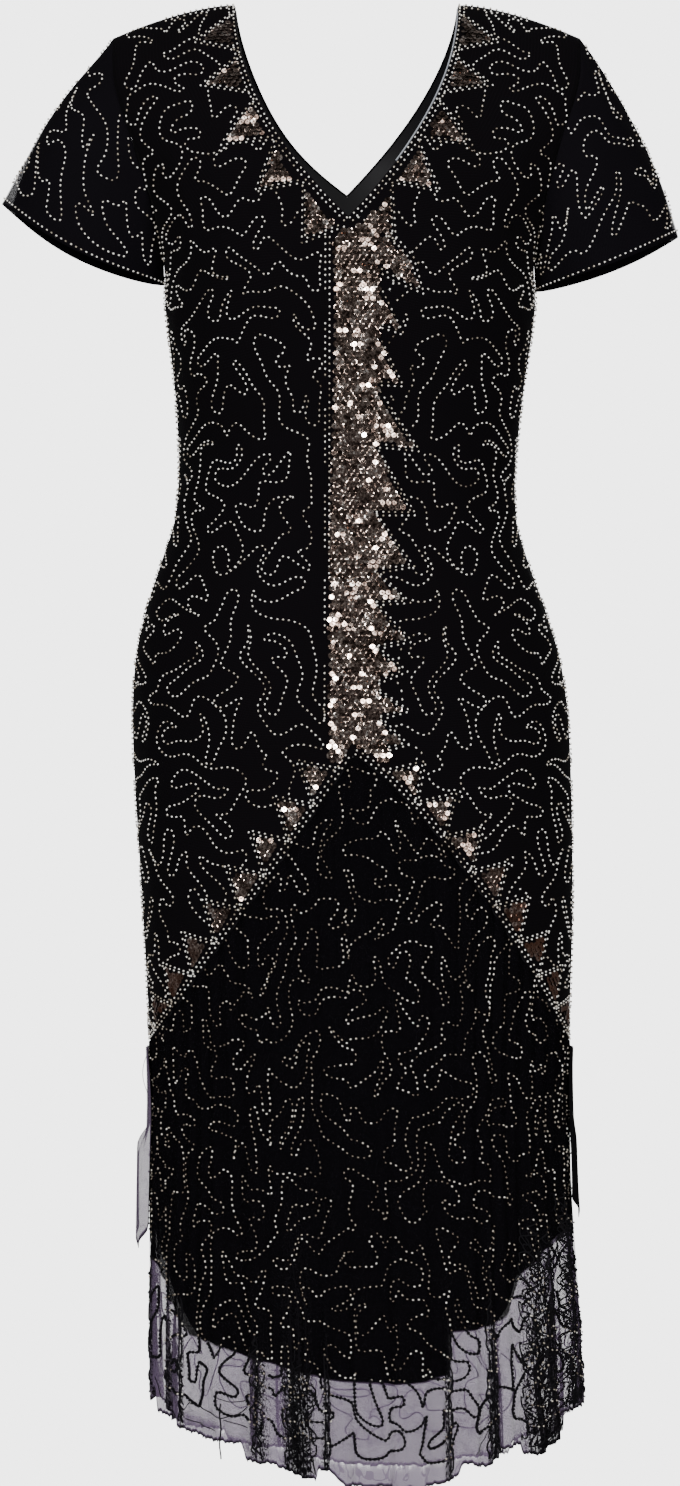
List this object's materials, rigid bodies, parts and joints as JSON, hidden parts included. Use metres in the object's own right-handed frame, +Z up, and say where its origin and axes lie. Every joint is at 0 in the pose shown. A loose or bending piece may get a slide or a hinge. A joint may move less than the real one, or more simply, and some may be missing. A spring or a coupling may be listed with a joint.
{
  "type": "flapper dress",
  "caption": "Short-sleeved V-neck dress, hollow as if worn, with an inverted V seam, gathered net skirt over a shorter lining, seed bead lines and sequin trim.",
  "frame": {"origin": "midway between the shoulder seams, at the height where the wearer's shoulders hold the dress up", "axes": "+Z up, -Y the way the wearer faces, +X the wearer's left"},
  "size_m": [0.5476, 0.2519, 1.1833],
  "materials": {
    "beaded_net": "black net over black lining",
    "skirt_net": "fine black net, see-through",
    "lining": "smooth black lining",
    "seed_beads": "champagne seed beads",
    "sequins": "rose gold metallised cup sequins",
    "satin_edge": "thin satin edge"
  },
  "bodies": {
    "root": {"bodice_front": "beaded_net", "bodice_back": "beaded_net", "sleeve_left": "beaded_net", "sleeve_right": "beaded_net", "skirt_front": "skirt_net", "skirt_back": "skirt_net", "lining_front": "lining", "lining_back": "lining", "side_net_left": "skirt_net", "side_net_right": "skirt_net"}
  },
  "joints": []
}
